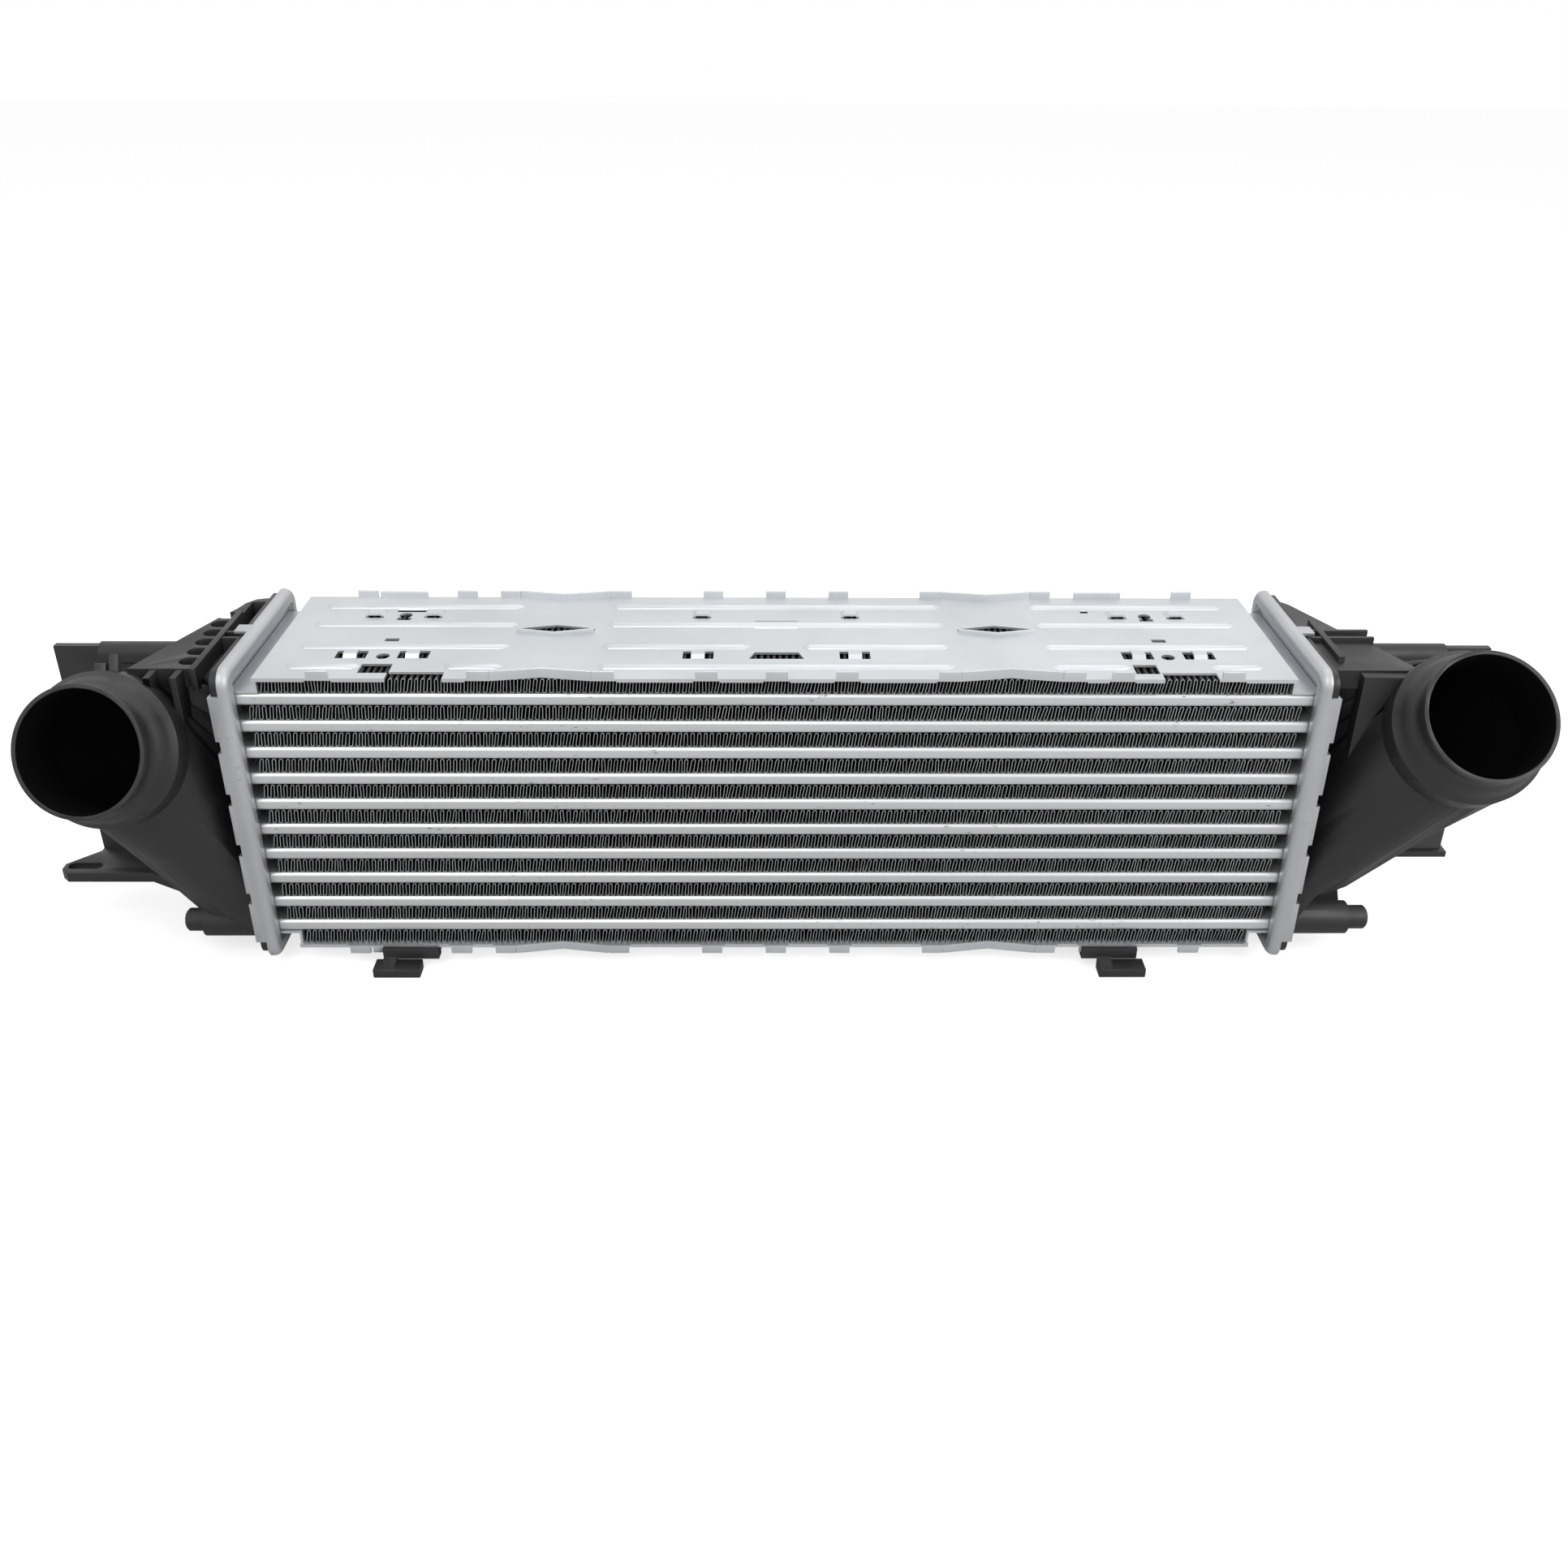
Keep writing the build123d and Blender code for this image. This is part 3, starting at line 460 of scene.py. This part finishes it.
# Core
def fold_path(pitch, height, lean):
    """Side view of one fold: up from a half root, over the crest and down to the next half root."""
    radius = pitch / 4
    turns = [radians(angle) for angle in (30, 60, 90)]
    low = -height / 2
    path = [(0.0, low)]
    path += [(radius * sin(a), low + radius * (1 - cos(a))) for a in turns]
    path += [(2 * radius - radius * sin(a), -low - radius * (1 - cos(a))) for a in turns[::-1]]
    path.append((2 * radius, -low))
    path += [(4 * radius - x, z) for x, z in path[-2::-1]]
    return [(x + lean * z / height, z) for x, z in path]


def fold_strip(path, depth):
    """One fold of the fin strip, modelled by extruding the leading edge of a narrow plane along its path."""
    object_mode()
    (x0, z0), (x1, z1) = path[:2]
    bpy.ops.mesh.primitive_plane_add(size=1, location=(0, 0, 0))
    strip = bpy.context.active_object
    for vertex in strip.data.vertices:
        ahead = vertex.co.x > 0
        vertex.co = Vector((x1 if ahead else x0, vertex.co.y * depth, z1 if ahead else z0))
    edit(strip, "EDGE")
    pick(strip, lambda e: all(abs(v.co.x - x1) < 1e-7 for v in e.verts), "edges")
    for (xa, za), (xb, zb) in zip(path[1:], path[2:]):
        bpy.ops.mesh.extrude_region_move(TRANSFORM_OT_translate={"value": (xb - xa, 0, zb - za)})
    object_mode()
    return strip


class INTERCOOLER_OT_fins(bpy.types.Operator):
    """Fold the fin strips between the tubes"""

    bl_idname = "intercooler.fins"
    bl_label = "Fins"

    def execute(self, context):
        sizes = context.scene.intercooler_core
        waver = bpy.data.textures.new("fin_waver", "CLOUDS")
        waver.noise_scale = sizes.waver_size
        waver.noise_depth = 1
        low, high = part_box("fin_02")
        path = fold_path(sizes.fin_pitch, high.z - low.z - 2 * sizes.fin_foil, sizes.fin_lean)
        fold = fold_strip(path, high.y - low.y)
        for row in range(1, TUBES + 2):
            half = sizes.end_fin_half if row in (1, TUBES + 1) else sizes.fin_half
            self.row_of_folds(fold, f"fin_{row:02d}", int(2 * half / sizes.fin_pitch), sizes, waver)
        bpy.data.objects.remove(fold)
        return {"FINISHED"}

    def row_of_folds(self, fold, node, count, sizes, waver):
        """Repeat the fold along one row, let it waver, and give the foil its thickness."""
        low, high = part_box(node)
        strip = fold.copy()
        strip.data = fold.data.copy()
        bpy.context.scene.collection.objects.link(strip)
        strip.location = (CORE.x - count * sizes.fin_pitch / 2, CORE.y, (low.z + high.z) / 2)
        activate(strip)
        bpy.ops.object.transform_apply(location=True)
        modify(strip, "ARRAY", count=count, use_relative_offset=False, use_constant_offset=True,
               constant_offset_displace=(sizes.fin_pitch, 0, 0), use_merge_vertices=True,
               merge_threshold=0.01 * MM)
        modify(strip, "DISPLACE", texture=waver, texture_coords="LOCAL", direction="X",
               strength=sizes.fin_waver, mid_level=0.5)
        modify(strip, "SOLIDIFY", thickness=sizes.fin_foil, offset=0)
        smooth(strip, angle=50)
        dress(strip, FINISH["fin"])
        finished(strip, node.replace("fin", "fin_strip"), "fin_aluminium", node)


class INTERCOOLER_OT_tubes(bpy.types.Operator):
    """Round the noses of the flat tubes"""

    bl_idname = "intercooler.tubes"
    bl_label = "Tubes"

    def execute(self, context):
        sizes = context.scene.intercooler_core
        for number in range(1, TUBES + 1):
            node = f"tube_{number:02d}"
            piece = copy_of_node(node)
            low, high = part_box(node)
            inner = (high.y - low.y) / 2 - sizes.nose_depth

            def along_nose(edge):
                first, last = (vertex.co for vertex in edge.verts)
                lengthwise = abs(first.x - last.x) > (high.x - low.x) / 3
                return lengthwise and abs(middle_of(edge).y - CORE.y) > inner

            edit(piece, "EDGE")
            pick(piece, along_nose, "edges")
            bpy.ops.mesh.bevel(offset=sizes.tube_nose, segments=3, affect="EDGES", clamp_overlap=True)
            object_mode()
            smooth(piece, angle=40)
            dress(piece, FINISH["tube"])
            finished(piece, f"flat_tube_{number:02d}", "tube_aluminium", node)
        return {"FINISHED"}


class INTERCOOLER_OT_headers(bpy.types.Operator):
    """Soften the pressed headers"""

    bl_idname = "intercooler.headers"
    bl_label = "Headers"

    def execute(self, context):
        sizes = context.scene.intercooler_shell
        for side in SIDES:
            node = f"header_{side}"
            piece = copy_of_node(node)
            modify(piece, "BEVEL", width=sizes.tray_round, segments=2, limit_method="ANGLE",
                   angle_limit=radians(50), use_clamp_overlap=True)
            smooth(piece, angle=45)
            dress(piece, FINISH["header"])
            finished(piece, f"header_tray_{side}", "header_aluminium", node)
        return {"FINISHED"}


class INTERCOOLER_OT_plates(bpy.types.Operator):
    """Round the stamped side plates"""

    bl_idname = "intercooler.plates"
    bl_label = "Side plates"

    def execute(self, context):
        sizes = context.scene.intercooler_shell
        for side, up in (("top", 1), ("bottom", -1)):
            node = f"side_plate_{side}"
            piece = copy_of_node(node, whole_faces=False)

            def height(point):
                return up * (point.z - CORE.z) / MM

            edit(piece, "FACE")
            pick(piece, lambda face: height(face.calc_center_median()) > RELIEF_START)
            bpy.ops.mesh.dissolve_limited(angle_limit=FLAT_ANGLE)
            self.roll(piece, height, BEAD_CREST, sizes.bead_round, 4)
            self.roll(piece, height, TAB_CREST, sizes.press_round, 3)
            self.roll(piece, height, FLANGE_CREST, sizes.press_round, 3)
            self.roll(piece, height, LOUVRE_CREST, sizes.press_round, 2)
            object_mode()
            smooth(piece, angle=32)
            dress(piece, FINISH["plate"])
            finished(piece, f"stamped_plate_{side}", "plate_aluminium", node)
        return {"FINISHED"}

    def roll(self, piece, height, level, width, steps):
        """Round the folds that lie at one height above the core's middle."""
        bpy.ops.mesh.select_mode(type="EDGE")
        bpy.ops.mesh.select_all(action="DESELECT")
        pick(piece, lambda edge: all(abs(height(vertex.co) - level) < LEVEL_PLAY for vertex in edge.verts)
             and edge.calc_face_angle(0) > radians(15), "edges")
        bpy.ops.mesh.bevel(offset=width, segments=steps, affect="EDGES", clamp_overlap=True)


class INTERCOOLER_OT_tanks(bpy.types.Operator):
    """Smooth the moulded tanks and paint shade on the walls inside their ports"""

    bl_idname = "intercooler.tanks"
    bl_label = "End tanks"

    def execute(self, context):
        sizes = context.scene.intercooler_shell
        for side in SIDES:
            node = f"tank_{side}"
            piece = copy_of_node(node)
            dress(piece, FINISH["tank"])
            piece.data.materials.append(FINISH["inside"])
            piece.data.materials.append(FINISH["trim"])
            self.line_inside(piece, side, sizes.mouth_trim)
            modify(piece, "BEVEL", width=sizes.mould_round, segments=2, limit_method="ANGLE",
                   angle_limit=radians(40), use_clamp_overlap=True)
            smooth(piece, angle=42)
            finished(piece, f"moulded_tank_{side}", "tank_plastic", node)
        return {"FINISHED"}

    def line_inside(self, piece, side, trim):
        """Paint shade on the walls of the bore and the hollow, and bevel the mouth's inner edge to carry a
        painted highlight.
        """
        place, tilt, turn = PORTS[side]
        mouth = spot(*place)
        tilted = Vector((0, -cos(radians(tilt)), sin(radians(tilt))))
        axis = Matrix.Rotation(radians(turn), 3, "Z") @ tilted

        def on_rim(face):
            depth = (face.calc_center_median() - mouth).dot(axis)
            return abs(depth) < RIM_DEPTH * MM and abs(face.normal.dot(axis)) > 0.9

        def takes_bore_shade(face):
            offset = face.calc_center_median() - mouth
            depth = -offset.dot(axis) / MM
            out = offset + axis * depth * MM
            if not RIM_DEPTH < depth < HOLLOW_DEPTH or out.length > HOLLOW_REACH * MM:
                return False
            faces_axis = face.normal.dot(out.normalized()) < -FACING
            faces_mouth = depth > BORE_DEPTH and face.normal.dot(axis) > FACING
            return faces_axis or faces_mouth

        edit(piece, "EDGE")
        shape = bmesh.from_edit_mesh(piece.data)
        # Painted shade: the faces inside the bore and the hollow take the near-black second material.
        inside = {face for face in shape.faces if takes_bore_shade(face)}
        if not inside:
            raise RuntimeError(f"{piece.name} has no bore wall at its port")
        for face in inside:
            face.material_index = 1
        pick(piece, lambda edge: len({face in inside for face in edge.link_faces}) == 2
             and any(map(on_rim, edge.link_faces)), "edges")
        # The bevel's faces take the painted highlight colour.
        bpy.ops.mesh.bevel(offset=trim, segments=2, affect="EDGES", clamp_overlap=True, material=2)
        object_mode()


class INTERCOOLER_OT_clips(bpy.types.Operator):
    """Soften the clips under the core"""

    bl_idname = "intercooler.clips"
    bl_label = "Clips"

    def execute(self, context):
        sizes = context.scene.intercooler_shell
        for side in SIDES:
            node = f"clip_{side}"
            piece = copy_of_node(node)
            modify(piece, "BEVEL", width=sizes.tray_round, segments=2, limit_method="ANGLE",
                   angle_limit=radians(35), use_clamp_overlap=True)
            smooth(piece, angle=40)
            dress(piece, FINISH["tank"])
            finished(piece, f"moulded_clip_{side}", "tank_plastic", node)
        return {"FINISHED"}


# Stage
def soft_lamp(name, place, size, power):
    """A square soft lamp at a place in metres from the core's middle, aimed at it."""
    object_mode()
    bpy.ops.object.light_add(type="AREA", location=CORE + Vector(place))
    lamp = bpy.context.active_object
    lamp.name = name
    lamp.data.shape = "SQUARE"
    lamp.data.size = size
    lamp.data.energy = power
    lamp.rotation_euler = (-Vector(place)).to_track_quat("-Z", "Y").to_euler()


def white_card(name):
    """Matt white board that stays white to the eye by a glow of its own, and is dimmed by shadow."""
    material = bpy.data.materials.new(name)
    material.use_nodes = True
    tree = material.node_tree
    tree.nodes.clear()
    rays = add_node(tree, "ShaderNodeLightPath")
    seen = add_node(tree, "ShaderNodeMath", {"operation": "MULTIPLY", 1: 0.72},
                    {0: rays.outputs["Is Camera Ray"]})
    card = add_node(tree, "ShaderNodeBsdfDiffuse", {"Color": grey(0.85)})
    glow = add_node(tree, "ShaderNodeEmission", {"Color": grey(1.0)}, {"Strength": seen.outputs[0]})
    both = add_node(tree, "ShaderNodeAddShader", links={0: card.outputs[0], 1: glow.outputs[0]})
    add_node(tree, "ShaderNodeOutputMaterial", links={"Surface": both.outputs[0]})
    return material


def white_room(name):
    """Surroundings that light the part dimly, and that the eye and reflections see as white."""
    world = bpy.data.worlds.new(name)
    world.use_nodes = True
    tree = world.node_tree
    tree.nodes.clear()
    rays = add_node(tree, "ShaderNodeLightPath")
    seen = add_node(tree, "ShaderNodeMath", {"operation": "MAXIMUM"},
                    {0: rays.outputs["Is Camera Ray"], 1: rays.outputs["Is Glossy Ray"]})
    dim = add_node(tree, "ShaderNodeBackground", {"Color": grey(1.0), "Strength": 0.3})
    white = add_node(tree, "ShaderNodeBackground", {"Color": grey(1.0), "Strength": 1.0})
    both = add_node(tree, "ShaderNodeMixShader",
                    links={"Fac": seen.outputs[0], 1: dim.outputs[0], 2: white.outputs[0]})
    add_node(tree, "ShaderNodeOutputWorld", links={"Surface": both.outputs[0]})
    return world


class INTERCOOLER_OT_stage(bpy.types.Operator):
    """Set the floor, the lamps, the surroundings and the camera"""

    bl_idname = "intercooler.stage"
    bl_label = "Stage"

    def execute(self, context):
        object_mode()
        bpy.ops.mesh.primitive_plane_add(size=12, location=(CORE.x, CORE.y, 0))
        floor = context.active_object
        floor.name = "floor"
        dress(floor, white_card("white_card"))
        context.scene.world = white_room("studio")
        soft_lamp("key_lamp", (-0.6, -1.2, 1.6), size=1.2, power=10)
        soft_lamp("side_lamp", (1.4, -0.8, 0.9), size=1.0, power=11)
        soft_lamp("top_lamp", (0.3, 0.7, 1.7), size=1.6, power=6)
        self.camera(context)
        context.scene.view_settings.view_transform = "Standard"
        return {"FINISHED"}

    def camera(self, context):
        """Camera at the photograph's place, 0.77 m from the core and looking down at it."""
        view = context.scene.intercooler_stage
        ahead = Vector((sin(view.yaw) * cos(view.down), cos(view.yaw) * cos(view.down), -sin(view.down)))
        level = Vector((cos(view.yaw), -sin(view.yaw), 0))
        upright = level.cross(ahead)
        right = level * cos(view.roll) + upright * sin(view.roll)
        up = upright * cos(view.roll) - level * sin(view.roll)
        turn = Matrix((right, up, -ahead)).transposed()
        bpy.ops.object.camera_add()
        camera = context.active_object
        camera.name = "camera"
        camera.matrix_world = Matrix.LocRotScale(spot(*view.place), turn, None)
        camera.data.sensor_width = 36
        camera.data.lens = camera.data.sensor_width * view.focal / view.photo_size
        camera.data.clip_start = 0.01
        context.scene.camera = camera


class INTERCOOLER_PT_panel(bpy.types.Panel):
    """Steps that build the intercooler, in order"""

    bl_idname = "INTERCOOLER_PT_panel"
    bl_label = "Intercooler"
    bl_space_type = "VIEW_3D"
    bl_region_type = "UI"
    bl_category = "Intercooler"

    def draw(self, context):
        layout = self.layout
        for group in GROUPS:
            box = layout.box()
            for name in GROUPS[group].__annotations__:
                box.prop(getattr(context.scene, group), name)
        for step in STEPS:
            layout.operator(step.bl_idname)


GROUPS = {"intercooler_core": CoreSettings, "intercooler_shell": ShellSettings,
          "intercooler_finish": FinishSettings, "intercooler_stage": StageSettings}
STEPS = (INTERCOOLER_OT_finishes, INTERCOOLER_OT_fins, INTERCOOLER_OT_tubes, INTERCOOLER_OT_headers,
         INTERCOOLER_OT_plates, INTERCOOLER_OT_tanks, INTERCOOLER_OT_clips, INTERCOOLER_OT_stage)


def register():
    """Add the settings, the steps and the panel."""
    for item in (*GROUPS.values(), *STEPS, INTERCOOLER_PT_panel):
        bpy.utils.register_class(item)
    for group, settings in GROUPS.items():
        setattr(bpy.types.Scene, group, PointerProperty(type=settings))


def unregister():
    """Take them away again."""
    for group in GROUPS:
        delattr(bpy.types.Scene, group)
    for item in (INTERCOOLER_PT_panel, *STEPS, *GROUPS.values()):
        bpy.utils.unregister_class(item)


def main():
    """Build the whole dressed part."""
    register()
    bpy.ops.intercooler.finishes()
    bpy.ops.intercooler.fins()
    bpy.ops.intercooler.tubes()
    bpy.ops.intercooler.headers()
    bpy.ops.intercooler.plates()
    bpy.ops.intercooler.tanks()
    bpy.ops.intercooler.clips()
    bpy.ops.intercooler.stage()


if __name__ == "__main__":
    main()
